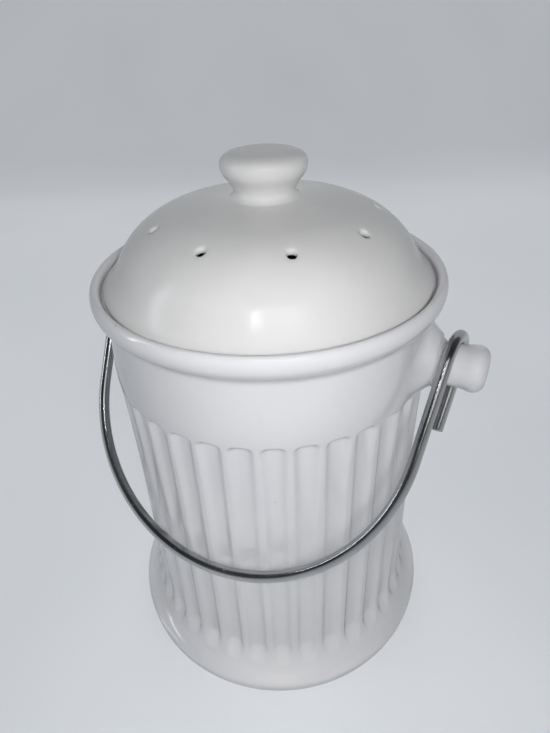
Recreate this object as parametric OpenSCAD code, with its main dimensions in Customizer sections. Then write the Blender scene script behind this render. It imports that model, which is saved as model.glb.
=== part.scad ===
// Compost caddy: a fluted glazed crock, a loose domed lid with a knob,
// an odour filter pressed into the lid, and a wire bail hooked over two lugs.
// Millimetres. The origin is the centre of the base, +Z is up, the lugs lie
// along X, and the bail rests against the front of the crock at -Y.

/* [Crock] */
// Diameter of the flared foot
foot_d = 187; // [178:1:200]
// Diameter over the ribs where the foot begins to flare
waist_d = 162; // [156:1:166]
// Diameter of the plain band under the rim
band_d = 158; // [156:1:161]
// Outside diameter of the rolled rim
rim_d = 166; // [164:1:168]
// Height of the top of the rim
rim_h = 224; // [205:1:240]
// Height at which the foot has flared back to the wall
flare_h = 27; // [22:1:34]
// Height of the upright edge of the foot
foot_edge_h = 5; // [3:0.5:8]
// Thickness of the wall
wall_t = 6; // [5:0.5:7]
// Thickness of the floor above the foot's hollow
floor_t = 7; // [5:0.5:12]
// Depth of the hollow under the floor
foot_hollow = 4; // [2:0.5:7]
// Width of the ring that the crock stands on
foot_ring_w = 14; // [9:1:20]

/* [Flutes] */
// Number of flutes round the wall
flute_count = 36; // [24:1:40]
// Width of one flute at the wall
flute_w = 9.5; // [6:0.5:11]
// Depth of one flute
flute_depth = 1.8; // [1:0.1:2.4]
// Distance from the top of the rim down to the tops of the flutes
flute_drop = 47; // [42:1:60]
// Height of the lower end of the flutes
flute_foot_h = 13; // [12:1:20]

/* [Lid seat] */
// Depth of the ledge that the lid rests on, below the top of the rim
seat_depth = 5; // [3.5:0.5:7]
// Diameter of the recess that holds the edge of the lid
recess_d = 156.4; // [154.5:0.2:157]
// Diameter of the mouth inside the ledge
mouth_d = 147; // [143:1:149]
// Height of the ledge's own thickness at the wall
ledge_t = 7; // [5:0.5:10]

/* [Lid] */
// Gap all round between the edge of the lid and its recess
lid_gap = 1.2; // [0.6:0.1:2]
// Thickness of the edge of the lid
lid_edge_t = 3.4; // [2.5:0.1:4.5]
// Height of the dome above the ledge, at the knob
dome_h = 36.8; // [32:0.2:44]
// Thickness of the dome
dome_t = 4.6; // [4:0.2:6]
// Gap all round between the ring under the lid and the mouth
ring_gap = 1; // [0.6:0.1:2]
// Thickness of the ring under the lid
ring_t = 3.6; // [3:0.2:5]
// Distance that the ring reaches below the ledge
ring_drop = 8; // [6:0.5:12]
// Number of air holes
vent_count = 9; // [6:1:12]
// Diameter of the air holes
vent_d = 4; // [3:0.1:4.4]
// Diameter of the circle that the air holes lie on
vent_circle_d = 101; // [92:1:106]
// Bearing of the first air hole from the -Y side
vent_turn = -4; // [-20:1:20]

/* [Knob] */
// Largest diameter of the knob
knob_d = 38; // [34:1:44]
// Diameter of the knob's foot on the dome
knob_foot_d = 29; // [27:0.5:30]
// Diameter of the knob's neck
knob_neck_d = 27.6; // [25:0.2:28]
// Height of the knob
knob_h = 19.5; // [17:0.5:24]

/* [Filter] */
// Thickness of the felt disc
filter_t = 8; // [5:0.5:9]

/* [Lugs] */
// Height of the lugs' axis
lug_h = 188; // [184:1:189]
// Diameter of a lug's neck, which carries the bail
lug_neck_d = 20; // [18:0.2:20.6]
// Diameter of a lug's head
lug_head_d = 22; // [21.2:0.2:24]
// Diameter of a lug's root where it meets the neck
lug_shoulder_d = 25; // [22:0.5:27]
// Distance from the middle of the crock to the end of a lug
lug_reach = 106; // [104:0.5:112]
// Diameter over which the root of a lug spreads on the wall
lug_root_d = 40; // [32:1:41]

/* [Bail] */
// Diameter of the wire
wire_d = 5.6; // [5:0.1:6]
// Distance from the middle of the crock to the wire at a lug's neck
bail_half_span = 88.6; // [88.4:0.1:89.2]
// Angle at which the legs lean in from the lugs to the bow
bail_splay = 5; // [2:0.5:5]
// Length of the straight legs below the lugs' axis
bail_leg = 46; // [40:1:56]
// Gap between the hook and the neck that it turns on
hook_gap = 0.5; // [0.4:0.05:0.8]
// Distance that the tail of the hook stands out past the leg
hook_skew = 4; // [2:0.25:4.5]
// Length of the hook's tail below the lugs' axis
hook_tail = 32; // [20:1:45]
// Gap between the resting bail and the wall
bail_gap = 0.4; // [0.3:0.1:1]

/* [Hidden] */
glaze = [0.90, 0.90, 0.91];
lid_glaze = [0.88, 0.87, 0.86];
felt = [0.16, 0.16, 0.17];
steel = [0.62, 0.63, 0.65];

// Point at share t of a cubic curve from a to d
function cubic(a, b, c, d, t) = let (u = 1 - t)
    u*u*u*a + 3*u*u*t*b + 3*u*t*t*c + t*t*t*d;
// Points of a cubic curve from a to d, without its first point
function curve(a, b, c, d, n) = [for (i = [1:n]) cubic(a, b, c, d, i / n)];
// Points of an arc about a centre, with separate radii across and up
function arc(centre, rx, ry, from, to, n) = [for (i = [0:n])
    let (g = from + (to - from) * i / n)
    [centre[0] + rx * cos(g), centre[1] + ry * sin(g)]];

foot_r = foot_d / 2;
waist_r = waist_d / 2;
band_r = band_d / 2;
rim_r = rim_d / 2;
recess_r = recess_d / 2;
mouth_r = mouth_d / 2;
seat_z = rim_h - seat_depth;
flute_top = rim_h - flute_drop;
wall_mid = (waist_r + band_r) / 2 - 0.6;

// Outside of the crock
foot_round = 1.6;
foot_inner_r = foot_r - foot_ring_w;
foot_pts = concat(
    [[foot_inner_r, 0]],
    arc([foot_r - foot_round, foot_round], foot_round, foot_round, -90, 0, 4),
    arc([foot_r - foot_edge_h * 0.7, foot_edge_h], foot_edge_h * 0.7, foot_edge_h * 0.5, 0, 60, 4));
flare_from = foot_pts[len(foot_pts) - 1];
flare_pts = curve(flare_from,
    [flare_from[0] - 5, flare_from[1] + 1.2],
    [waist_r + 1, flare_h * 0.45],
    [waist_r, flare_h], 9);
// Control points of the fluted wall, from the flare up to the plain band
wall_a = [waist_r, flare_h];
wall_b = [waist_r - 0.8, flare_h + (flute_top - flare_h) * 0.35];
wall_c = [wall_mid - 1.6, flare_h + (flute_top - flare_h) * 0.7];
wall_d = [band_r, flute_top];
wall_pts = curve(wall_a, wall_b, wall_c, wall_d, 8);
neck_z = rim_h - 15;
neck_r = band_r - 1.2;
band_pts = curve([band_r, flute_top],
    [band_r + 0.7, flute_top + 9],
    [neck_r, neck_z - 10],
    [neck_r, neck_z], 6);
rim_bead = 4.6;
roll_pts = curve([neck_r, neck_z],
    [neck_r, neck_z + 4],
    [rim_r, rim_h - rim_bead - 6],
    [rim_r, rim_h - rim_bead], 7);
rim_mid_r = (rim_r + recess_r) / 2;
crown_pts = concat(
    arc([rim_mid_r, rim_h - rim_bead], rim_r - rim_mid_r, rim_bead, 15, 90, 6),
    arc([rim_mid_r, rim_h - seat_depth * 0.6], rim_mid_r - recess_r, seat_depth * 0.6, 105, 180, 5));
outer_pts = concat(foot_pts, flare_pts, wall_pts, band_pts, roll_pts, crown_pts);

// Inside of the crock, from the recess down to the floor
inner_r = waist_r - wall_t - flute_depth;
floor_z = foot_hollow + floor_t;
floor_round = 14;
inner_pts = concat(
    [[recess_r, seat_z], [mouth_r, seat_z], [mouth_r, seat_z - ledge_t]],
    curve([mouth_r, seat_z - ledge_t],
        [mouth_r, seat_z - ledge_t - 20],
        [inner_r, seat_z - ledge_t - 60],
        [inner_r, floor_z + floor_round + 40], 5),
    arc([inner_r - floor_round, floor_z + floor_round], floor_round, floor_round, 0, -90, 6),
    [[0, floor_z], [0, foot_hollow], [foot_inner_r - foot_hollow, foot_hollow]]);

// One flute is a leaning round rod with round ends, sunk into the wall
flute_r = (flute_w * flute_w / 4 + flute_depth * flute_depth) / (2 * flute_depth);
flute_lo_z = flute_foot_h + flute_r;
flute_hi_z = flute_top - flute_w / 2;
flute_lo_r = waist_r - flute_depth + flute_r;
flute_hi_r = band_r - flute_depth + flute_r - 0.5;
flute_len = sqrt(pow(flute_hi_z - flute_lo_z, 2) + pow(flute_hi_r - flute_lo_r, 2));
flute_lean = atan((flute_hi_r - flute_lo_r) / (flute_hi_z - flute_lo_z));

// Lug: root against the wall, neck for the bail, head that keeps it on
wire_r = wire_d / 2;
bead = 0.02;
collar = 0.6;
hook_r = lug_neck_d / 2 + hook_gap + wire_r;
neck_play = 0.8;
neck_from = bail_half_span - wire_r - neck_play;
neck_to = bail_half_span + hook_skew + wire_r + neck_play;
lug_root_r = band_r - 5;
head_round = 5.4;

// Bail: the bow below its legs, its depth, and how far it leans when it
// rests against the front
bow_r = (bail_half_span - bail_leg * sin(bail_splay)) / cos(bail_splay);
bow_z = bow_r * sin(bail_splay) - bail_leg * cos(bail_splay);
bail_depth = bow_r - bow_z;
bail_reach = sqrt(bail_depth * bail_depth + hook_r * hook_r);
rest_z = lug_h - 0.75 * bail_depth;
rest_wall = cubic(wall_a, wall_b, wall_c, wall_d, (rest_z - flare_h) / (flute_top - flare_h))[0];
rest_r = rest_wall + wire_r + bail_gap;
bail_lean = asin(rest_r / bail_reach) - atan(hook_r / bail_depth);
hook_turn = atan(hook_skew / (2 * hook_r));
hook_bend_r = hook_r / cos(hook_turn);

// Lid
lid_r = recess_r - lid_gap;
ring_r = mouth_r - ring_gap;
filter_r = ring_r - ring_t;
knob_foot_r = knob_foot_d / 2;
dome_z = seat_z + dome_h;
edge_z = seat_z + lid_edge_t;
brow_r = lid_r - 10.5;
brow_z = seat_z + dome_h * 0.43;
shoulder_r = filter_r - 3;
shoulder_z = seat_z - ring_drop + filter_t + 2;
lid_outer_pts = concat(
    [[ring_r, seat_z]],
    [[lid_r - 0.8, seat_z], [lid_r, seat_z + 0.8]],
    arc([lid_r - lid_edge_t * 0.5, edge_z - lid_edge_t * 0.5], lid_edge_t * 0.5, lid_edge_t * 0.5, 0, 60, 4),
    curve([lid_r - lid_edge_t * 0.25, edge_z - 0.2],
        [lid_r - 4.5, edge_z + 2.6],
        [brow_r + 3.2, brow_z - 5.2],
        [brow_r, brow_z], 6),
    curve([brow_r, brow_z],
        [brow_r - 5, brow_z + 7.4],
        [lid_r * 0.67, dome_z - 5.6],
        [lid_r * 0.50, dome_z - 3.4], 8),
    curve([lid_r * 0.50, dome_z - 3.4],
        [lid_r * 0.36, dome_z - 1.5],
        [knob_foot_r + 4, dome_z],
        [knob_foot_r, dome_z], 5));
lid_inner_pts = concat(
    [[0, dome_z], [0, dome_z - dome_t]],
    curve([0, dome_z - dome_t],
        [lid_r * 0.3, dome_z - dome_t],
        [brow_r - dome_t - 6, dome_z - dome_t - 3.5],
        [shoulder_r, brow_z - 1], 8),
    [[shoulder_r, shoulder_z], [filter_r, shoulder_z],
     [filter_r, seat_z - ring_drop], [ring_r, seat_z - ring_drop]]);

// Knob
knob_r = knob_d / 2;
knob_neck_r = knob_neck_d / 2;
knob_top_z = dome_z + knob_h;
knob_belly_z = dome_z + knob_h * 0.66;
knob_pts = concat(
    [[0, dome_z], [knob_foot_r, dome_z]],
    curve([knob_foot_r, dome_z],
        [knob_neck_r - 0.6, dome_z + 1.4],
        [knob_neck_r - 0.6, dome_z + 3],
        [knob_neck_r + 0.3, dome_z + knob_h * 0.28], 5),
    curve([knob_neck_r + 0.3, dome_z + knob_h * 0.28],
        [knob_neck_r + 2.3, dome_z + knob_h * 0.42],
        [knob_r, knob_belly_z - 3.4],
        [knob_r, knob_belly_z], 6),
    curve([knob_r, knob_belly_z],
        [knob_r, knob_belly_z + 4],
        [knob_r - 5, knob_top_z - 0.5],
        [knob_r * 0.42, knob_top_z - 0.15], 7),
    [[0, knob_top_z]]);

// Solid made by turning a list of points about the crock's axis
module turned(pts, facets = 96) {
    rotate_extrude($fn = facets) polygon(pts);
}

// Solid made by turning a list of points about the X axis
module turned_about_x(pts) {
    rotate([0, 90, 0]) turned(pts, 64);
}

// One lug on the +X side, its root buried in the wall
module lug() {
    shoulder = lug_shoulder_d / 2;
    root_pts = curve([lug_root_r, lug_root_d / 2],
        [band_r + 1, lug_root_d / 2],
        [band_r + 1.5, shoulder + 1.8],
        [neck_from - 1.2, shoulder], 8);
    head_pts = arc([lug_reach - head_round, lug_head_d / 2 - head_round],
        head_round, head_round, 90, 0, 6);
    side = concat(
        [[0, lug_root_r], [lug_root_d / 2, lug_root_r]],
        [for (p = root_pts) [p[1], p[0]]],
        [[lug_neck_d / 2, neck_from], [lug_neck_d / 2, neck_to], [lug_head_d / 2, neck_to + 1]],
        [for (p = head_pts) [p[1], p[0]]],
        [[0, lug_reach]]);
    translate([0, 0, lug_h]) turned_about_x(side);
}

// Rod that cuts one flute on the +X side
module flute() {
    translate([flute_lo_r, 0, flute_lo_z]) rotate([0, flute_lean, 0]) {
        cylinder(h = flute_len, r = flute_r, $fn = 48);
        sphere(r = flute_r, $fn = 48);
        translate([0, 0, flute_len]) sphere(r = flute_r, $fn = 48);
    }
}

module crock() {
    color(glaze) difference() {
        union() {
            difference() {
                turned(concat(outer_pts, inner_pts));
                for (i = [0 : flute_count - 1])
                    rotate([0, 0, (i + 0.5) * 360 / flute_count]) flute();
            }
            for (side = [0, 180]) rotate([0, 0, side]) lug();
        }
        translate([0, 0, lug_h]) rotate([0, 90, 0])
            cylinder(h = 2 * inner_r, d = lug_root_d + 10, center = true, $fn = 64);
    }
}

module lid() {
    color(lid_glaze) difference() {
        turned(concat(lid_outer_pts, lid_inner_pts));
        for (i = [0 : vent_count - 1])
            rotate([0, 0, vent_turn + i * 360 / vent_count])
                translate([0, -vent_circle_d / 2, seat_z])
                    cylinder(h = dome_h + 2, d = vent_d, $fn = 32);
    }
}

module lid_knob() {
    color(lid_glaze) turned(knob_pts, 72);
}

// Felt disc that is pushed up into the ring under the lid
module carbon_filter() {
    color(felt) translate([0, 0, shoulder_z - filter_t])
        cylinder(h = filter_t, r = filter_r, $fn = 96);
}

// Straight piece of wire along -Z from the origin
module wire(length) {
    rotate([180, 0, 0]) cylinder(h = length, r = wire_r, $fn = 32);
}

// Wire bent in the XZ plane about the origin, bulging along -Z. It falls
// short of half a turn by an angle at each end
module bend(r, short) {
    rotate([90, 0, 0]) rotate([0, 0, 180 + short])
        rotate_extrude(angle = 180 - 2 * short, $fn = 96)
            translate([r, 0]) circle(r = wire_r, $fn = 32);
}

// Hook at one end: leg in front, bend over the neck, tail behind. Faint beads
// cover the ends of the bend, and a faint collar covers the foot of the leg,
// where the bow runs into it
module hook(side) {
    translate([side * bail_half_span, 0, 0]) rotate([0, side * bail_splay, 0]) {
        translate([0, -hook_r, 0]) wire(bail_leg - collar / 6);
        translate([0, -hook_r, -bail_leg])
            cylinder(h = collar, r = wire_r + bead, center = true, $fn = 32);
        translate([side * hook_skew, hook_r, 0]) wire(hook_tail);
        translate([side * hook_skew / 2, 0, 0]) rotate([180, 0, 90 - side * hook_turn]) {
            bend(hook_bend_r, 0);
            for (way = [-1, 1]) translate([way * hook_bend_r, 0, 0])
                sphere(r = wire_r + bead, $fn = 32);
        }
    }
}

module bail() {
    color(steel) translate([0, 0, lug_h]) rotate([-bail_lean, 0, 0]) {
        hook(1);
        hook(-1);
        translate([0, -hook_r, bow_z]) bend(bow_r, bail_splay);
    }
}

crock();
lid();
lid_knob();
carbon_filter();
bail();
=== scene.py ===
"""Looks of the compost caddy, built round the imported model. Metres, +Z up."""
import math

import bmesh
import bpy
import numpy as np
from mathutils import Matrix, Vector


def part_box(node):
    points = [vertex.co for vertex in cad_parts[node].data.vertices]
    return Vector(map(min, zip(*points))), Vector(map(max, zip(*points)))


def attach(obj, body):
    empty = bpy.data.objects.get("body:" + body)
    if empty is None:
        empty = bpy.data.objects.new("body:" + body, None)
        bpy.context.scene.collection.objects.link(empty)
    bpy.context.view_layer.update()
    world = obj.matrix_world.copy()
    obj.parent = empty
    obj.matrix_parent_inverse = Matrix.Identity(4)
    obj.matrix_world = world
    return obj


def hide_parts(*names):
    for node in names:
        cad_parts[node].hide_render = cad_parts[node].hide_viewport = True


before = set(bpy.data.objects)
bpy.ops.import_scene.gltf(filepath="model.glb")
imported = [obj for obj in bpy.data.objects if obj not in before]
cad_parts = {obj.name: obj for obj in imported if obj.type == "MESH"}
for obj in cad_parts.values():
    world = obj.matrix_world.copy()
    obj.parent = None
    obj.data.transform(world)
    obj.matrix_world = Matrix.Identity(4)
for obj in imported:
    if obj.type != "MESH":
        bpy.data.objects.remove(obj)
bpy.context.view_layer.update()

MM = 0.001
TAU = 2 * math.pi

# Sizes in millimetres, the same as the solids'
FOOT_R, WAIST_R, BAND_R, RIM_R = 93.46, 81.0, 79.0, 83.0
RIM_H, FLARE_H, FOOT_EDGE_H = 224.0, 27.0, 5.0
FLOOR_Z, HOLLOW, RING_IN_R = 11.0, 4.0, 79.5
INNER_R, MOUTH_R, RECESS_R, SEAT_Z, LEDGE_T = 73.2, 73.5, 78.2, 219.0, 7.0
FLUTES, FLUTE_W, FLUTE_D, FLUTE_TOP = 36, 10.2, 2.3, 177.0
LUG_H, NECK_R, HEAD_R, SHOULDER_R, LUG_END, ROOT_R = 188.0, 10.0, 11.0, 12.5, 106.0, 20.0
WIRE_R, HALF_SPAN, SPLAY, LEG, HOOK_GAP, SKEW, TAIL = 2.8, 88.6, 5.0, 46.0, 0.5, 4.0, 32.0
LID_R, EDGE_T, DOME_H, DOME_T = 77.0, 3.4, 36.8, 4.6
RING_R, FILTER_R, RING_Z = 72.5, 68.9, 211.0
KNOB_R, KNOB_FOOT_R, KNOB_NECK_R, KNOB_H = 19.0, 14.5, 13.8, 19.5
VENTS, VENT_R, VENT_RING, VENT_TURN = 9, 2.0, 50.5, -4.0
DOME_Z = SEAT_Z + DOME_H
# The innermost ring of a surface that closes on the axis
HUB_R = 1.5


# ---------------------------------------------------------------- shapes
def cubic(a, b, c, d, n, first=False):
    """Points of a cubic curve from a to d, without the first one."""
    a, b, c, d = (np.array(p, float) for p in (a, b, c, d))
    t = np.linspace(0, 1, n + 1)[0 if first else 1:, None]
    u = 1 - t
    return (u**3 * a + 3 * u * u * t * b + 3 * u * t * t * c + t**3 * d).tolist()


def arc(cx, cy, rx, ry, start, end, n):
    """Points of an elliptical arc, angles in degrees."""
    g = np.radians(np.linspace(start, end, n + 1))
    return np.stack([cx + rx * np.cos(g), cy + ry * np.sin(g)], 1).tolist()


def line(a, b, n):
    """n points on the way from a to b, b included."""
    t = np.linspace(0, 1, n + 1)[1:, None]
    return (np.array(a, float) * (1 - t) + np.array(b, float) * t).tolist()


def smooth_min(a, b, k):
    """The smaller of a and b, rounded over where they differ by less than k."""
    h = np.clip(0.5 + 0.5 * (b - a) / k, 0, 1)
    return b * (1 - h) + a * h - k * h * (1 - h)


def resample(pts, spacing):
    """A line of points again, with a step that depends on the height."""
    pts = np.array(pts, float)
    seg = np.hypot(*np.diff(pts, axis=0).T)
    run = np.concatenate([[0], np.cumsum(seg)])
    out, at = [0.0], 0.0
    while True:
        step = spacing(np.interp(at, run, pts[:, 1]))
        at += step
        if at >= run[-1] - 0.4 * step:
            break
        out.append(at)
    out.append(run[-1])
    return np.stack([np.interp(out, run, pts[:, i]) for i in (0, 1)], 1)


def mesh_piece(name, verts, faces, body, nodes, material):
    """A smooth mesh that stands for CAD nodes and rides on their body."""
    mesh = bpy.data.meshes.new(name)
    mesh.from_pydata([tuple(v) for v in np.asarray(verts) * MM], [], faces)
    mesh.validate()
    outward = bmesh.new()
    outward.from_mesh(mesh)
    bmesh.ops.recalc_face_normals(outward, faces=outward.faces)
    outward.to_mesh(mesh)
    outward.free()
    mesh.polygons.foreach_set("use_smooth", [True] * len(mesh.polygons))
    mesh.update()
    obj = bpy.data.objects.new(name, mesh)
    bpy.context.scene.collection.objects.link(obj)
    mesh.materials.append(material)
    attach(obj, body)
    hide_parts(*nodes)
    return obj


def grid_faces(rows, cols, skip=(), offset=0):
    """Quads of a grid closed round its columns."""
    faces = []
    skip = set(skip)
    for i in range(rows - 1):
        for j in range(cols):
            if (i, j) in skip:
                continue
            k = (j + 1) % cols
            faces.append((offset + i * cols + j, offset + i * cols + k,
                          offset + (i + 1) * cols + k, offset + (i + 1) * cols + j))
    return faces


def revolved(profile, angles):
    """Grid of points of a profile (radius, height) turned about Z."""
    profile = np.array(profile, float)
    return np.stack([profile[:, :1] * np.cos(angles), profile[:, :1] * np.sin(angles),
                     np.repeat(profile[:, 1:], len(angles), 1)], -1)


def fan(verts, faces, start, cols, point, turned_over=False):
    """Close the ring of points from start on with triangles round one more point."""
    verts.append(list(point))
    tip = len(verts) - 1
    for j in range(cols):
        a, b = start + j, start + (j + 1) % cols
        faces.append((b, a, tip) if turned_over else (a, b, tip))


def closed_grid(points):
    """Points and faces of a grid round Z, closed on the axis at both ends."""
    rows, cols = points.shape[:2]
    verts = points.reshape(-1, 3).tolist()
    faces = grid_faces(rows, cols)
    for row in (0, rows - 1):
        level = float(np.mean(points[row, :, 2]))
        fan(verts, faces, row * cols, cols, (0, 0, level), turned_over=row == 0)
    return verts, faces


# ---------------------------------------------------------------- materials
class Nodes:
    """Small helper for the nodes of a material, or of the world; lengths in metres."""

    def __init__(self, owner, shader="Principled BSDF", coordinates="Object"):
        owner.use_nodes = True
        self.owner, self.tree = owner, owner.node_tree
        self.shader = self.tree.nodes[shader]
        self.where = self.node("ShaderNodeTexCoord").outputs[coordinates]

    def node(self, kind, **values):
        n = self.tree.nodes.new(kind)
        for key, value in values.items():
            setattr(n, key, value)
        return n

    def put(self, source, socket):
        if hasattr(source, "is_linked"):
            self.tree.links.new(source, socket)
        else:
            socket.default_value = source

    def scaled(self, scale, source=None):
        m = self.node("ShaderNodeMapping")
        self.put(source or self.where, m.inputs["Vector"])
        m.inputs["Scale"].default_value = scale
        return m.outputs["Vector"]

    def noise(self, scale, detail=3.0, rough=0.5, source=None, color=False):
        n = self.node("ShaderNodeTexNoise")
        self.put(source or self.where, n.inputs["Vector"])
        n.inputs["Scale"].default_value = scale
        n.inputs["Detail"].default_value = detail
        n.inputs["Roughness"].default_value = rough
        return n.outputs["Color" if color else "Fac"]

    def cells(self, scale, source=None):
        n = self.node("ShaderNodeTexVoronoi")
        self.put(source or self.where, n.inputs["Vector"])
        n.inputs["Scale"].default_value = scale
        return n

    def math(self, operation, a, b=0.0, c=None, clamp=False):
        n = self.node("ShaderNodeMath", operation=operation, use_clamp=clamp)
        self.put(a, n.inputs[0])
        self.put(b, n.inputs[1])
        if c is not None:
            self.put(c, n.inputs[2])
        return n.outputs[0]

    def remap(self, value, lo, hi, to_lo=0.0, to_hi=1.0, smooth=False):
        n = self.node("ShaderNodeMapRange")
        if smooth:
            n.interpolation_type = "SMOOTHSTEP"
        self.put(value, n.inputs["Value"])
        for key, v in (("From Min", lo), ("From Max", hi), ("To Min", to_lo), ("To Max", to_hi)):
            n.inputs[key].default_value = v
        return n.outputs["Result"]

    def mix(self, share, a, b):
        n = self.node("ShaderNodeMix", data_type="RGBA")
        self.put(share, n.inputs[0])
        for value, socket in ((a, n.inputs[6]), (b, n.inputs[7])):
            self.put((*value, 1.0) if isinstance(value, tuple) else value, socket)
        return n.outputs[2]

    def mix_value(self, share, a, b):
        n = self.node("ShaderNodeMix", data_type="FLOAT")
        for value, i in ((share, 0), (a, 2), (b, 3)):
            self.put(value, n.inputs[i])
        return n.outputs[0]

    def axis(self, which, source=None):
        n = self.node("ShaderNodeSeparateXYZ")
        self.put(source or self.where, n.inputs[0])
        return n.outputs[which]

    def dots(self, scale, channel, share, inner, outer, source=None):
        """Round dots in a share of the cells, chosen by a channel of their colour."""
        cell = self.cells(scale, source)
        chosen = self.math("LESS_THAN", self.axis(channel, cell.outputs["Color"]), share)
        dot = self.remap(cell.outputs["Distance"], inner, outer, 1.0, 0.0, smooth=True)
        return self.math("MULTIPLY", dot, chosen)

    def bump(self, height, distance, below=None):
        n = self.node("ShaderNodeBump")
        n.inputs["Distance"].default_value = distance
        self.put(height, n.inputs["Height"])
        if below is not None:
            self.put(below, n.inputs["Normal"])
        return n.outputs["Normal"]

    def finish(self, color, roughness, normal, **fixed):
        self.put(color, self.shader.inputs["Base Color"])
        self.put(roughness, self.shader.inputs["Roughness"])
        self.put(normal, self.shader.inputs["Normal"])
        for key, value in fixed.items():
            self.shader.inputs[key.replace("_", " ")].default_value = value
        return self.owner


# Colours of the glazes, and of what lies in and under them
CROCK_TONE, CROCK_SHADE = (0.735, 0.735, 0.755), (0.705, 0.708, 0.735)
LID_TONE, LID_SHADE = (0.735, 0.728, 0.722), (0.700, 0.695, 0.692)
WARMER = (1.0, 0.985, 0.955)
IRON, PINHOLE = (0.16, 0.12, 0.09), (0.42, 0.40, 0.38)
CLAY_DARK, CLAY_PALE = (0.52, 0.46, 0.38), (0.66, 0.60, 0.51)
# Colours of the wire and of the felt; the carbon colour paints the felt's grains lighter, as a
# glint
WIRE_DARK, WIRE_PALE, WIRE_SPOT = (0.42, 0.425, 0.43), (0.52, 0.525, 0.53), (0.22, 0.20, 0.18)
FELT_DARK, FELT_PALE, CARBON_AND_GLINT = (0.012, 0.012, 0.013), (0.055, 0.055, 0.058), (0.10, 0.10, 0.105)
# Heights in metres below which the clay is bare, and the share of cells with a speck
CROCK_BARE, LID_BARE = 0.0004, 0.2113
CROCK_SPECKS, LID_SPECKS = 0.16, 0.24


def glaze(name, tone, shade, bare_below, speck_share, dull=0.0):
    """White glaze with faint clouds, pinholes and iron specks; bare clay below a height."""
    m = Nodes(bpy.data.materials.new(name))
    clouds = m.remap(m.noise(16.0, 4.0, 0.55), 0.34, 0.68, smooth=True)
    color = m.mix(clouds, shade, tone)
    warm = m.remap(m.noise(7.0, 2.0, 0.5), 0.46, 0.72, 0.0, 0.5, smooth=True)
    color = m.mix(warm, color, tuple(v * k for v, k in zip(tone, WARMER)))
    # dark specks of a few tenths of a millimetre, and pinholes
    speck = m.dots(95.0, 0, speck_share, 0.016, 0.040)
    color = m.mix(m.math("MULTIPLY", speck, 0.62), color, IRON)
    pin = m.dots(190.0, 1, 0.10, 0.02, 0.075, m.scaled((1.0, 1.0, 1.13)))
    color = m.mix(m.math("MULTIPLY", pin, 0.30), color, PINHOLE)
    # unglazed clay, with an edge that wanders a little
    wander = m.math("MULTIPLY_ADD", m.noise(60.0, 2.0), 0.0008, m.axis(2))
    bare = m.remap(wander, bare_below, bare_below + 0.0005, 1.0, 0.0, smooth=True)
    grain = m.noise(2600.0, 3.0, 0.6)
    clay = m.mix(m.remap(grain, 0.3, 0.7), CLAY_DARK, CLAY_PALE)
    color = m.mix(bare, color, clay)
    # roughness: faint runs in the glaze, duller pinholes, rough clay
    runs = m.noise(38.0, 5.0, 0.62, m.scaled((1.0, 1.0, 0.45)))
    smear = m.remap(runs, 0.36, 0.70, 0.055 + dull, 0.135 + dull)
    rough = m.mix_value(bare, m.math("ADD", smear, m.math("MULTIPLY", pin, 0.3)), 0.82)
    # relief: a slow drift, orange peel, pits and specks, gritty clay
    drift = m.bump(m.noise(42.0, 2.0, 0.4), 0.00042)
    peel = m.bump(m.noise(420.0, 2.0, 0.5), 0.000035, drift)
    pits = m.math("MULTIPLY_ADD", pin, -1.0, m.math("MULTIPLY", speck, 0.4))
    pitted = m.bump(pits, 0.00012, peel)
    gritty = m.bump(m.math("MULTIPLY", grain, bare), 0.00012, pitted)
    return m.finish(color, rough, gritty, IOR=1.52, Specular_IOR_Level=0.75 - 2 * dull)


def steel(name):
    """Polished drawn wire with fine lengthwise scratches and dull smears."""
    m = Nodes(bpy.data.materials.new(name))
    smear = m.noise(30.0, 4.0, 0.6)
    color = m.mix(m.remap(smear, 0.35, 0.7), WIRE_DARK, WIRE_PALE)
    scratch = m.noise(1500.0, 2.0, 0.6, m.scaled((1.0, 1.0, 0.06)))
    spots = m.remap(m.noise(240.0, 3.0, 0.6), 0.62, 0.74, 0.0, 1.0, smooth=True)
    color = m.mix(m.math("MULTIPLY", spots, 0.28), color, WIRE_SPOT)
    smeared = m.remap(smear, 0.3, 0.72, 0.14, 0.25)
    rough = m.math("ADD", smeared, m.math("MULTIPLY", spots, 0.14))
    lines = m.bump(scratch, 0.000012)
    dents = m.bump(m.noise(110.0, 2.0, 0.5), 0.00007, lines)
    return m.finish(color, rough, dents, Metallic=1.0)


def felt(name):
    """Charcoal felt: matted fibres, lint, and carbon grains with a painted glint."""
    m = Nodes(bpy.data.materials.new(name))
    bent = m.node("ShaderNodeVectorMath", operation="MULTIPLY_ADD")
    m.put(m.noise(180.0, 3.0, 0.6, color=True), bent.inputs[0])
    bent.inputs[1].default_value = (0.006, 0.006, 0.006)
    m.put(m.where, bent.inputs[2])
    fibres, across = (m.noise(950.0, 4.0, 0.7, m.scaled(stretch, bent.outputs[0]))
                      for stretch in ((1.0, 0.16, 1.0), (0.16, 1.0, 1.0)))
    mat = m.math("MAXIMUM", fibres, across)
    color = m.mix(m.remap(mat, 0.45, 0.8), FELT_DARK, FELT_PALE)
    # carbon grains, coloured lighter than the felt as a painted glint; their roughness stays
    # that of the felt
    painted_glint_grains = m.math("LESS_THAN", m.axis(0, m.cells(620.0).outputs["Color"]), 0.10)
    color = m.mix(m.math("MULTIPLY", painted_glint_grains, 0.5), color, CARBON_AND_GLINT)
    normal = m.bump(mat, 0.0005, m.bump(m.noise(90.0, 3.0), 0.0008))
    return m.finish(color, m.remap(mat, 0.4, 0.8, 0.85, 1.0), normal, Sheen_Weight=0.25)


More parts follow.
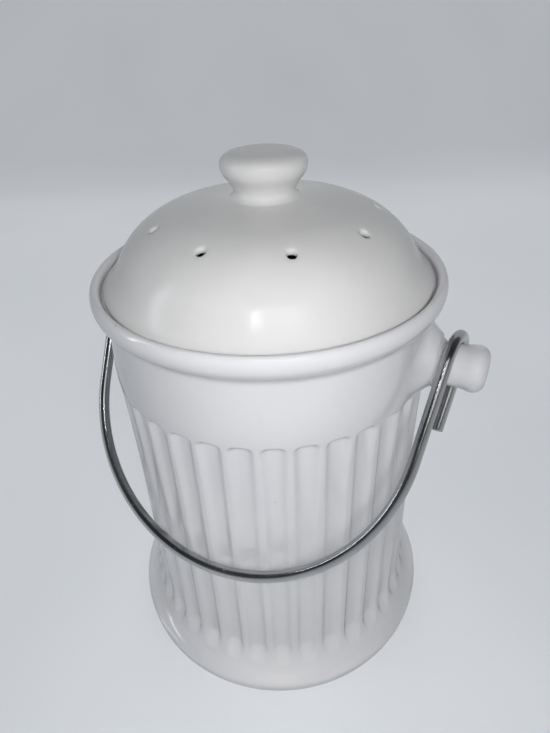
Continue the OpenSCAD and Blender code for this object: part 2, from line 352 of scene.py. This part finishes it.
crock_white = glaze("white_glaze_crock", CROCK_TONE, CROCK_SHADE, CROCK_BARE, CROCK_SPECKS)
lid_white = glaze("white_glaze_lid", LID_TONE, LID_SHADE, LID_BARE, LID_SPECKS, dull=0.12)
knob_white = glaze("white_glaze_knob", LID_TONE, LID_SHADE, LID_BARE, LID_SPECKS)
wire_steel = steel("polished_wire")
filter_felt = felt("charcoal_felt")


# ---------------------------------------------------------------- crock
def lug_root():
    """Outline of a lug's root as (distance along X, radius), and both ends of its neck."""
    neck_from, neck_to = HALF_SPAN - WIRE_R - 0.8, HALF_SPAN + SKEW + WIRE_R + 0.8
    root = cubic((BAND_R - 9, ROOT_R + 5.5), (BAND_R - 3, ROOT_R - 0.5),
                 (BAND_R + 2, SHOULDER_R + 1.6), (neck_from - 0.9, SHOULDER_R - 0.4),
                 60, first=True)
    root += cubic(root[-1], (neck_from - 0.7, SHOULDER_R - 0.6),
                  (neck_from - 0.7, SHOULDER_R - 1.0), (neck_from - 0.65, NECK_R - 1), 8)
    return root, neck_from, neck_to


def wall_step(z):
    """Distance between rows of the outer wall: small where the flutes begin and end."""
    if z < 30 or 171 < z < 179:
        return 0.55
    return 5.0 if z < 156 else 1.0 if z < 212 else 0.8


def crock_piece():
    foot = cubic((RING_IN_R - HOLLOW, HOLLOW), (RING_IN_R - 2.4, HOLLOW - 0.2),
                 (RING_IN_R - 1.6, 0), (RING_IN_R + 0.6, 0), 8, first=True)
    foot += line(foot[-1], (FOOT_R - 1.8, 0), 5)
    foot += arc(FOOT_R - 1.7, 1.7, 1.7, 1.7, -90, 0, 8)
    edge_rx, edge_ry = FOOT_EDGE_H * 0.7, FOOT_EDGE_H * 0.5
    top_edge = arc(FOOT_R - edge_rx, FOOT_EDGE_H, edge_rx, edge_ry, 0, 60, 10)
    start = top_edge[-1]
    flare = cubic(start, (start[0] - 5, start[1] + 1.2), (WAIST_R + 1.3, FLARE_H * 0.47),
                  (WAIST_R + 0.2, FLARE_H + 3), 60)
    mid = (WAIST_R + BAND_R) / 2 - 0.6
    rise = FLUTE_TOP - FLARE_H
    wall = cubic((WAIST_R + 0.2, FLARE_H + 3), (WAIST_R - 1.0, FLARE_H + rise * 0.35),
                 (mid - 1.6, FLARE_H + rise * 0.7), (BAND_R, FLUTE_TOP), 200)
    neck_z, neck_r = RIM_H - 15, BAND_R - 1.2
    band = cubic((BAND_R, FLUTE_TOP), (BAND_R + 0.7, FLUTE_TOP + 9), (neck_r, neck_z - 10),
                 (neck_r, neck_z), 60)
    bead = 4.6
    roll = cubic((neck_r, neck_z), (neck_r, neck_z + 4), (RIM_R, RIM_H - bead - 6),
                 (RIM_R, RIM_H - bead), 30)
    outside = resample(top_edge + flare + wall + band + roll, wall_step)
    mid_r, drop = (RIM_R + RECESS_R) / 2, (RIM_H - SEAT_Z) * 0.6
    crown = arc(mid_r, RIM_H - bead, RIM_R - mid_r, bead, 8, 90, 10)
    crown += arc(mid_r, RIM_H - drop, mid_r - RECESS_R, drop, 100, 180, 8)
    inside = cubic((RECESS_R, SEAT_Z + 1.2), (RECESS_R, SEAT_Z + 0.4), (RECESS_R - 0.3, SEAT_Z),
                   (RECESS_R - 1.2, SEAT_Z), 5, first=True)
    inside += line(inside[-1], (MOUTH_R + 1.0, SEAT_Z), 3)
    inside += arc(MOUTH_R + 1, SEAT_Z - 1, 1, 1, 90, 180, 5)
    inside += line(inside[-1], (MOUTH_R, SEAT_Z - LEDGE_T), 3)
    inside += cubic((MOUTH_R, SEAT_Z - LEDGE_T), (MOUTH_R, SEAT_Z - LEDGE_T - 20),
                    (INNER_R, SEAT_Z - LEDGE_T - 60), (INNER_R, FLOOR_Z + 54), 14)
    inside += line(inside[-1], (INNER_R, FLOOR_Z + 14), 8)
    inside += arc(INNER_R - 14, FLOOR_Z + 14, 14, 14, 0, -90, 12)[1:]
    inside += line(inside[-1], (HUB_R, FLOOR_Z), 12)
    before = [(HUB_R, HOLLOW)] + line((HUB_R, HOLLOW), foot[0], 10)[:-1] + foot[:-1]
    profile = np.array(before + outside.tolist() + crown + inside)
    rows = slice(len(before), len(before) + len(outside))

    # columns, closer together on the sides of each flute
    pitch = TAU / FLUTES
    half = np.array([0, 1.4, 2.5, 3.3, 4.0, 4.6, 5.2, 5.8, 6.4]) / (BAND_R * pitch)
    offsets = np.concatenate([-half[:0:-1], half, [0.5]]) * pitch
    angles = (np.arange(FLUTES)[:, None] * pitch + pitch / 2 + offsets[None]).ravel()
    radius = np.repeat(profile[:, :1], len(angles), 1)
    z = np.repeat(profile[:, 1:], len(angles), 1)

    # flutes: a flat floor with steep sides and a flat-topped arch. The lower end
    # narrows and turns out into the flare in a soft hollow
    zo = z[rows]
    low_z, end_z, arch_z = 32.0, 12.0, FLUTE_TOP - 3.4
    arch_h, square, bend_r, out_slope = 3.9, 2.8, 13.0, 9.0
    base_z, base_r, arch_r = 20.2, WAIST_R - FLUTE_D, BAND_R - FLUTE_D - 0.5
    floor = base_r + (arch_r - base_r) * ((zo - base_z) / (arch_z - base_z))
    across = np.abs(angles % pitch - pitch / 2)[None, :] * radius[rows]
    closing = np.clip((low_z - zo) / (low_z - end_z), 0, 1)
    side = across / (FLUTE_W / 2 * (1 - 0.35 * closing**2))
    above = np.clip(zo - arch_z, 0, None) / arch_h
    reach = (side**square + above**square) ** (1 / square)
    below = np.clip(end_z + bend_r - zo, 0, bend_r)
    turn_out = bend_r - np.sqrt(bend_r**2 - below**2) + out_slope * np.clip(end_z - zo, 0, None)
    carved = floor + FLUTE_D * np.minimum(reach, 3.0) ** 3.0 + turn_out
    radius[rows] = smooth_min(radius[rows], carved, 1.5 + 0.22 * np.clip(26 - zo, 0, 10))

    # roots of the lugs, raised out of the wall along X with a fillet
    x, y = radius * np.cos(angles), radius * np.sin(angles)
    root, neck_from, neck_to = lug_root()
    outline = np.array(root[::-1] + [[BAND_R - 13, ROOT_R + 9.5]])
    xo = x[rows]
    spread = np.hypot(y[rows], zo - LUG_H - 1.2)
    raised = np.interp(spread, outline[:, 1], outline[:, 0], right=-1e3)
    far, fillet = np.abs(xo), 3.4
    lifted = -smooth_min(-far, -raised, fillet)
    near = (spread < ROOT_R + 9.4) & (far > 40)
    x[rows] = np.where(near, np.sign(xo) * lifted, xo)
    verts, faces = closed_grid(np.stack([x, y, z], -1))

    # necks and heads of the lugs
    out = [(BAND_R + 2, NECK_R)]
    out += cubic((neck_from - 1.4, NECK_R + 2.2), (neck_from - 0.2, NECK_R + 1.8),
                 (neck_from + 0.5, NECK_R + 0.3), (neck_from + 2.0, NECK_R), 12, first=True)
    out += line(out[-1], (neck_to - 2.4, NECK_R), 6)
    out += cubic(out[-1], (neck_to + 0.6, NECK_R), (neck_to + 1.4, HEAD_R - 0.1),
                 (LUG_END - 5.4, HEAD_R - 0.1), 16)
    out += arc(LUG_END - 5.4, HEAD_R - 5.5, 5.2, 5.4, 90, 0, 14)[1:]
    out += cubic(out[-1], (LUG_END - 0.1, 4.0), (LUG_END, 3.0), (LUG_END, 2.6), 4)
    out += line(out[-1], (LUG_END, 1.2), 3)
    out, sides = np.array(out), 64
    turn = np.arange(sides) * TAU / sides
    for way in (1, -1):
        base = len(verts)
        lug = np.stack([way * np.repeat(out[:, :1], sides, 1),
                        out[:, 1:] * np.cos(turn) * way,
                        out[:, 1:] * np.sin(turn) + LUG_H], -1)
        verts += lug.reshape(-1, 3).tolist()
        faces += grid_faces(len(out), sides, offset=base)
        last_ring = base + (len(out) - 1) * sides
        fan(verts, faces, last_ring, sides, (way * LUG_END, 0, LUG_H))
    return mesh_piece("crock_glazed", verts, faces, "crock", ["crock"], crock_white)


# ---------------------------------------------------------------- lid
def lid_piece():
    edge_z = SEAT_Z + EDGE_T
    brow = (LID_R - 10.5, SEAT_Z + DOME_H * 0.43)
    lip = arc(LID_R - EDGE_T / 2, edge_z - EDGE_T / 2, EDGE_T / 2, EDGE_T / 2, 0, 62, 6)
    skirt = [(RING_R + 0.6, SEAT_Z)] + line((RING_R + 0.6, SEAT_Z), (LID_R - 1.3, SEAT_Z), 2)
    skirt += arc(LID_R - 1.2, SEAT_Z + 1.2, 1.2, 1.2, -90, 0, 5)[1:]
    slope = cubic(lip[-1], (LID_R - 4.5, edge_z + 2.6), (brow[0] + 3.2, brow[1] - 5.2), brow, 60)
    slope += cubic(brow, (brow[0] - 5, brow[1] + 7.4), (LID_R * 0.67, DOME_Z - 5.6),
                   (LID_R * 0.5, DOME_Z - 3.4), 80)
    slope += cubic((LID_R * 0.5, DOME_Z - 3.4), (LID_R * 0.36, DOME_Z - 1.5),
                   (KNOB_FOOT_R + 4, DOME_Z), (KNOB_FOOT_R, DOME_Z), 40)
    slope += line((KNOB_FOOT_R, DOME_Z), (KNOB_FOOT_R - 4, DOME_Z - 0.4), 4)
    slope = np.array(slope)
    # radii of the rows: even steps round the air holes, wider ones elsewhere
    cols, around, outer_rows, in_outer_rows = 360, 7, 24, 10
    cell = TAU * VENT_RING / cols
    steps = np.arange(-around, around + 1) * cell
    outer, inner = VENT_RING + steps[-1] + cell, VENT_RING + steps[0] - cell
    hole_radii = (VENT_RING + steps)[::-1]
    radii = np.concatenate([np.linspace(LID_R - 2, outer, outer_rows), hole_radii,
                            np.linspace(inner, KNOB_FOOT_R - 4, 34)])
    order = np.argsort(slope[:, 0])

    def top_height(r):
        return np.interp(r, slope[order, 0], slope[order, 1])

    outside = skirt + lip[:-1] + [(r, top_height(r)) for r in radii]
    shoulder_r, shoulder_z = FILTER_R - 3, 221.0
    under = np.array(cubic(
        (0, DOME_Z - DOME_T), (LID_R * 0.3, DOME_Z - DOME_T),
        (brow[0] - DOME_T - 6, DOME_Z - DOME_T - 3.5), (shoulder_r, brow[1] - 1),
        80, first=True))

    def low_height(r):
        return np.interp(r, under[:, 0], under[:, 1])

    in_radii = np.concatenate([np.linspace(shoulder_r, outer, in_outer_rows), hole_radii,
                               np.linspace(inner, 2.0, 20)])
    inside = [(RING_R, SEAT_Z - 0.6), (RING_R, RING_Z + 1.2)]
    inside += arc(RING_R - 1.1, RING_Z + 1.1, 1.1, 1.1, 0, -90, 4)[1:]
    inside += arc(FILTER_R + 1.1, RING_Z + 1.1, 1.1, 1.1, -90, -180, 4)
    inside += line((FILTER_R, RING_Z + 1.1), (FILTER_R, shoulder_z), 4)
    inside += line((FILTER_R, shoulder_z), (shoulder_r + 0.4, shoulder_z), 2)
    inside += line((shoulder_r, shoulder_z + 0.5), (shoulder_r, brow[1] - 2.5), 4)
    inside += [(r, low_height(r)) for r in in_radii]

    first_vent = math.radians(-90 + VENT_TURN)
    angles = first_vent + np.arange(cols) * TAU / cols

    def sheet(profile, centre_row, surface, way, widen, sink):
        """Grid of one side of the lid with the air holes opened in it.

        The square rings of points round a hole become round. widen and sink say, from
        the hole outwards, by how much they are larger than it and lie in the surface."""
        pts = revolved(profile, angles)
        skip, loops = [], []
        for v in range(VENTS):
            col = v * cols // VENTS
            centre = VENT_RING * np.array([math.cos(angles[col]), math.sin(angles[col])])
            for di in range(-5, 6):
                for dj in range(-5, 6):
                    ring = max(abs(di), abs(dj)) - 2
                    i, j = centre_row + di, (col + dj) % cols
                    if ring < 0:
                        skip += [(i - a, (j - b) % cols) for a in (0, 1) for b in (0, 1)]
                        continue
                    flat = pts[i, j, :2] - centre
                    far = np.hypot(*flat)
                    keep = (ring / 4) ** 1.5
                    at = centre + flat / far * (far * keep + (VENT_R + widen[ring]) * (1 - keep))
                    pts[i, j] = (*at, surface(np.hypot(*at)) - way * sink[ring])
            loop = [(-2, d) for d in range(-2, 2)] + [(d, 2) for d in range(-2, 2)]
            loop += [(-i, -j) for i, j in loop]
            loops.append([(centre_row + i) * cols + (col + j) % cols for i, j in loop])
        return pts, skip, loops

    out_row = len(skirt) + len(lip) - 1 + outer_rows + around
    in_row = len(inside) - len(in_radii) + in_outer_rows + around
    top, top_skip, top_loops = sheet(outside, out_row, top_height, 1,
                                     (0.0, 0.30, 0.85, 2.2), (0.60, 0.18, 0.02, 0.0))
    low, low_skip, low_loops = sheet(inside, in_row, low_height, -1,
                                     (0.2, 0.8, 1.7, 3.0), (2.1, 1.5, 0.6, 0.1))
    verts = top.reshape(-1, 3).tolist() + low.reshape(-1, 3).tolist()
    shift = top.shape[0] * cols
    faces = grid_faces(top.shape[0], cols, top_skip)
    faces += grid_faces(low.shape[0], cols, low_skip, shift)
    # the flat strip that rests on the ledge joins the two grids
    for j in range(cols):
        k = (j + 1) % cols
        faces.append((shift + j, shift + k, k, j))
    # walls of the air holes
    for a, b in zip(top_loops, low_loops):
        b = [shift + v for v in b]
        for i, here in enumerate(a):
            k = (i + 1) % len(a)
            faces.append((a[k], here, b[i], b[k]))
    for last_ring in (shift - cols, len(verts) - cols):
        fan(verts, faces, last_ring, cols, (0, 0, verts[last_ring][2]))
    return mesh_piece("lid_glazed", verts, faces, "lid", ["lid"], lid_white)


def knob_piece():
    top = DOME_Z + KNOB_H - 0.6
    belly = DOME_Z + KNOB_H * 0.69
    pts = cubic((KNOB_FOOT_R + 3.0, DOME_Z - 0.6), (KNOB_FOOT_R + 1.2, DOME_Z + 0.1),
                (KNOB_NECK_R + 0.5, DOME_Z + 0.6), (KNOB_NECK_R + 0.15, DOME_Z + 2.2),
                12, first=True)
    pts += cubic(pts[-1], (KNOB_NECK_R + 0.0, DOME_Z + 3.0), (KNOB_NECK_R + 0.35, DOME_Z + 3.9),
                 (KNOB_NECK_R + 0.9, DOME_Z + 5.0), 8)
    pts += cubic(pts[-1], (KNOB_NECK_R + 2.6, DOME_Z + 8.4), (KNOB_R, belly - 4.0),
                 (KNOB_R, belly), 16)
    pts += cubic((KNOB_R, belly), (KNOB_R, belly + 3.4), (KNOB_R - 2.8, top - 0.5),
                 (KNOB_R * 0.55, top - 0.15), 20)
    pts += cubic(pts[-1], (KNOB_R * 0.3, top - 0.05), (KNOB_R * 0.2, top), (1.0, top), 4)
    verts, faces = closed_grid(revolved(pts, np.arange(128) * TAU / 128))
    return mesh_piece("knob_glazed", verts, faces, "lid", ["lid_knob"], knob_white)


# ---------------------------------------------------------------- filter
def filter_piece():
    """Felt disc with a soft edge and a surface that isn't quite flat."""
    low, high, r = 213.0, 221.0, FILTER_R - 0.25
    prof = [(HUB_R, low)] + line((HUB_R, low), (r - 2.2, low), 34)
    prof += arc(r - 1.6, low + 1.6, 1.6, 1.6, -90, 0, 6)
    prof += line(prof[-1], (r, high - 1.0), 5) + arc(r - 1.0, high - 1.0, 1.0, 1.0, 0, 90, 4)[1:]
    prof = np.array(prof + line(prof[-1], (HUB_R, high), 20))
    cols = 144
    pts = revolved(prof, np.arange(cols) * TAU / cols)
    x, y, z = pts[..., 0], pts[..., 1], pts[..., 2]
    waves = np.sin(x * 0.21 + 1.3) * np.cos(y * 0.17 - 0.4) + np.sin(x * 0.43 - y * 0.38)
    dip = waves * 0.16 + 0.34
    face = (z < low + 0.5) | (z > high - 0.2)
    inward = np.where(z < (low + high) / 2, 1, -1)
    pts[..., 2] += np.where(face, inward * dip, 0)
    verts, faces = closed_grid(pts)
    return mesh_piece("felt_disc", verts, faces, "lid", ["carbon_filter"],
                      filter_felt)


# ---------------------------------------------------------------- bail
def bail_piece():
    hook_r = NECK_R + HOOK_GAP + WIRE_R
    cs, sn = math.cos(math.radians(SPLAY)), math.sin(math.radians(SPLAY))
    bow_r = (HALF_SPAN - LEG * sn) / cs
    bow_z = bow_r * sn - LEG * cs
    lean = resting_lean(hook_r, bow_r - bow_z)

    def side(way):
        """Half of the wire's centre line, from the tail's end to the foot of the leg."""
        tail_top = np.array([way * SKEW, hook_r, 0.0])
        leg_top = np.array([0.0, -hook_r, 0.0])
        centre, half = (tail_top + leg_top) / 2, (tail_top - leg_top) / 2
        r = np.linalg.norm(half)
        pts = [tail_top + (0, 0, z) for z in np.linspace(-TAIL, 0, 22)]
        for g in np.linspace(0, math.pi, 33)[1:]:
            pts.append(centre + half * math.cos(g) + np.array([0, 0, r * math.sin(g)]))
        pts += [leg_top + (0, 0, -z) for z in np.linspace(0, LEG, 24)[1:]]
        return [np.array([way * HALF_SPAN + q[0] * cs + way * q[2] * sn, q[1],
                          -way * q[0] * sn + q[2] * cs]) for q in pts]

    short = math.radians(SPLAY)
    bow = [np.array([bow_r * math.cos(g), -hook_r, bow_z - bow_r * math.sin(g)])
           for g in np.linspace(short, math.pi - short, 97)[1:-1]]
    path = np.array(side(1) + bow + side(-1)[::-1])
    cl, sl = math.cos(lean), math.sin(lean)
    path = np.stack([path[:, 0], path[:, 1] * cl + path[:, 2] * sl,
                     -path[:, 1] * sl + path[:, 2] * cl + LUG_H], 1)
    tangent = np.gradient(path, axis=0)
    tangent /= np.linalg.norm(tangent, axis=1)[:, None]

    # rings round the path, with softened edges at both ends of the wire
    soft = 0.8
    caps = [(soft * (1 - math.cos(g)), WIRE_R - soft + soft * math.sin(g))
            for g in np.radians((0, 20, 40, 60, 80))]
    stations = [(path[0] + tangent[0] * dz, tangent[0], r) for dz, r in caps]
    stations += [(p, t, WIRE_R) for p, t in zip(path[1:-1], tangent[1:-1])]
    stations += [(path[-1] - tangent[-1] * dz, tangent[-1], r) for dz, r in caps[::-1]]
    sides = 28
    turn = np.arange(sides)[:, None] * TAU / sides
    normal = np.cross(tangent[0], (1, 0, 0))
    rings = []
    for at, t, r in stations:
        normal = normal - t * np.dot(normal, t)
        normal /= np.linalg.norm(normal)
        rings.append(at + r * (np.cos(turn) * normal + np.sin(turn) * np.cross(t, normal)))
    verts = np.array(rings).reshape(-1, 3).tolist()
    faces = [tuple(reversed(f)) for f in grid_faces(len(rings), sides)]
    fan(verts, faces, 0, sides, path[0])
    fan(verts, faces, (len(rings) - 1) * sides, sides, path[-1], turned_over=True)
    return mesh_piece("bail_wire", verts, faces, "bail", ["bail"], wire_steel)


def resting_lean(hook_r, depth):
    """How far the resting bail leans, so that its lowest point lies where the solid's does."""
    front = -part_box("bail")[0].y / MM - WIRE_R
    reach = math.hypot(depth, hook_r)
    return math.asin(front / reach) - math.atan(hook_r / depth)


crock_piece()
lid_piece()
knob_piece()
filter_piece()
bail_piece()


# ---------------------------------------------------------------- stage
# The photograph's view: the +X lug is turned towards the camera by TURN degrees
TURN, PITCH, ROLL = 25.5, 34.83, -2.31
EYE, FOCAL_PX, PHOTO_H_PX, SENSOR = (1.35, -226.8, 321.3), 508.0, 733, 36.0
# The floor in metres: its ends, half its width, and the bend up to the backdrop
FLOOR_NEAR, FLOOR_FAR, FLOOR_HALF, BEND_R, BACK_H = -6.0, 0.9, 5.0, 0.7, 2.6
FLOOR_TONES = (0.57, 0.595, 0.62), (0.60, 0.62, 0.645)
FLOOR_LIT_TONES = (0.33, 0.345, 0.36), (0.35, 0.36, 0.375)
FLOOR_GLOW = 0.66


def turned(p):
    """From axes that face the camera to the object's own axes."""
    c, s = math.cos(math.radians(TURN)), math.sin(math.radians(TURN))
    return Vector((p[0] * c - p[1] * s, p[0] * s + p[1] * c, p[2]))


def floor_stage():
    """Pale floor that curves up into a pale backdrop behind the object."""
    pts = [(FLOOR_NEAR, 0.0), (FLOOR_FAR, 0.0)]
    for g in np.linspace(0, math.pi / 2, 25)[1:]:
        pts.append((FLOOR_FAR + BEND_R * math.sin(g), BEND_R - BEND_R * math.cos(g)))
    pts.append((FLOOR_FAR + BEND_R, BACK_H))
    verts = [(x, y, z) for x in (-FLOOR_HALF, FLOOR_HALF) for y, z in pts]
    n = len(pts)
    faces = [(i, n + i, n + i + 1, i + 1) for i in range(n - 1)]
    mesh = bpy.data.meshes.new("floor")
    mesh.from_pydata(verts, [], faces)
    mesh.polygons.foreach_set("use_smooth", [True] * len(mesh.polygons))
    obj = bpy.data.objects.new("floor", mesh)
    bpy.context.scene.collection.objects.link(obj)
    m = Nodes(bpy.data.materials.new("pale_floor"))
    patches = m.remap(m.noise(3.0, 2.0), 0.3, 0.7)
    m.finish(m.mix(patches, *FLOOR_LIT_TONES), 0.6, m.bump(m.noise(300.0, 3.0), 0.0001))
    # a little light of its own, for the view and for reflections only
    ray = m.node("ShaderNodeLightPath").outputs
    mirrored = m.math("ADD", ray["Is Glossy Ray"], ray["Is Transmission Ray"])
    seen = m.math("ADD", ray["Is Camera Ray"], mirrored, clamp=True)
    m.put(m.mix(patches, *FLOOR_TONES), m.shader.inputs["Emission Color"])
    m.put(m.math("MULTIPLY", seen, FLOOR_GLOW), m.shader.inputs["Emission Strength"])
    mesh.materials.append(m.owner)
    obj.rotation_euler = (0, 0, math.radians(TURN))


def area(name, at, size, power, aim=(0, 0, 0.13), color=(1, 1, 1), mirrored=False,
         spread=180):
    """A lamp that faces aim; at and aim are in the camera's axes."""
    data = bpy.data.lights.new(name, "AREA")
    data.shape, data.size, data.size_y = "RECTANGLE", size[0], size[1]
    data.energy, data.color, data.spread = power, color, math.radians(spread)
    obj = bpy.data.objects.new(name, data)
    bpy.context.scene.collection.objects.link(obj)
    obj.visible_glossy, obj.visible_camera = mirrored, False
    obj.location = turned(at)
    obj.rotation_euler = (Vector(turned(aim)) - obj.location).to_track_quat("-Z", "Y").to_euler()


def studio_world():
    """Pale round the horizon, dim above, and dimmest over the camera."""
    world = bpy.data.worlds.new("studio")
    bpy.context.scene.world = world
    m = Nodes(world, "Background", "Generated")
    facing = m.node("ShaderNodeVectorMath", operation="DOT_PRODUCT")
    m.put(m.where, facing.inputs[0])
    facing.inputs[1].default_value = turned((0.0, -0.86, 0.5))
    dim = m.remap(facing.outputs["Value"], -0.2, 0.75, 0.11, 0.045)
    band = m.remap(m.axis("Z"), 0.20, 0.40, 0.55, 0.0)
    m.put((0.80, 0.84, 0.88, 1.0), m.shader.inputs["Color"])
    m.put(m.math("MAXIMUM", dim, band), m.shader.inputs["Strength"])


def photo_camera():
    """The camera that was fitted to the photograph."""
    pitch, roll = math.radians(PITCH), math.radians(ROLL)
    ahead = Vector((0, math.cos(pitch), -math.sin(pitch)))
    level, raised = Vector((1, 0, 0)), Vector((0, math.sin(pitch), math.cos(pitch)))
    right = math.cos(roll) * level + math.sin(roll) * raised
    up = -math.sin(roll) * level + math.cos(roll) * raised
    axes = Matrix([turned(right), turned(up), -turned(ahead)]).transposed().to_4x4()
    lens = bpy.data.cameras.new("camera")
    lens.sensor_width = SENSOR
    lens.lens = SENSOR * FOCAL_PX / PHOTO_H_PX
    lens.clip_start, lens.clip_end = 0.01, 20.0
    camera = bpy.data.objects.new("camera", lens)
    bpy.context.scene.collection.objects.link(camera)
    camera.matrix_world = Matrix.Translation(turned(EYE) * MM) @ axes
    bpy.context.scene.camera = camera


floor_stage()
area("key", (0.12, -0.50, 0.46), (0.20, 0.16), 0.60)
area("card", (0.05, -0.52, 0.50), (0.30, 0.16), 0.20, mirrored=True)
area("near", (0.01, -0.242, 0.322), (0.03, 0.03), 0.275)
area("low", (-0.035, -0.24, 0.35), (0.05, 0.05), 0.030, aim=(0, -0.11, 0.0), spread=50)
area("strip", (-0.75, -0.10, 0.45), (0.05, 0.50), 0.5, color=(0.86, 0.93, 1.0), mirrored=True)
area("behind", (0.0, 1.20, 0.36), (2.4, 0.5), 7.5, aim=(0, 0, 0.25), spread=75)
area("flash", (-0.035, -0.24, 0.35), (0.010, 0.010), 0.018, mirrored=True)
studio_world()
photo_camera()
bpy.context.scene.view_settings.view_transform = "Standard"
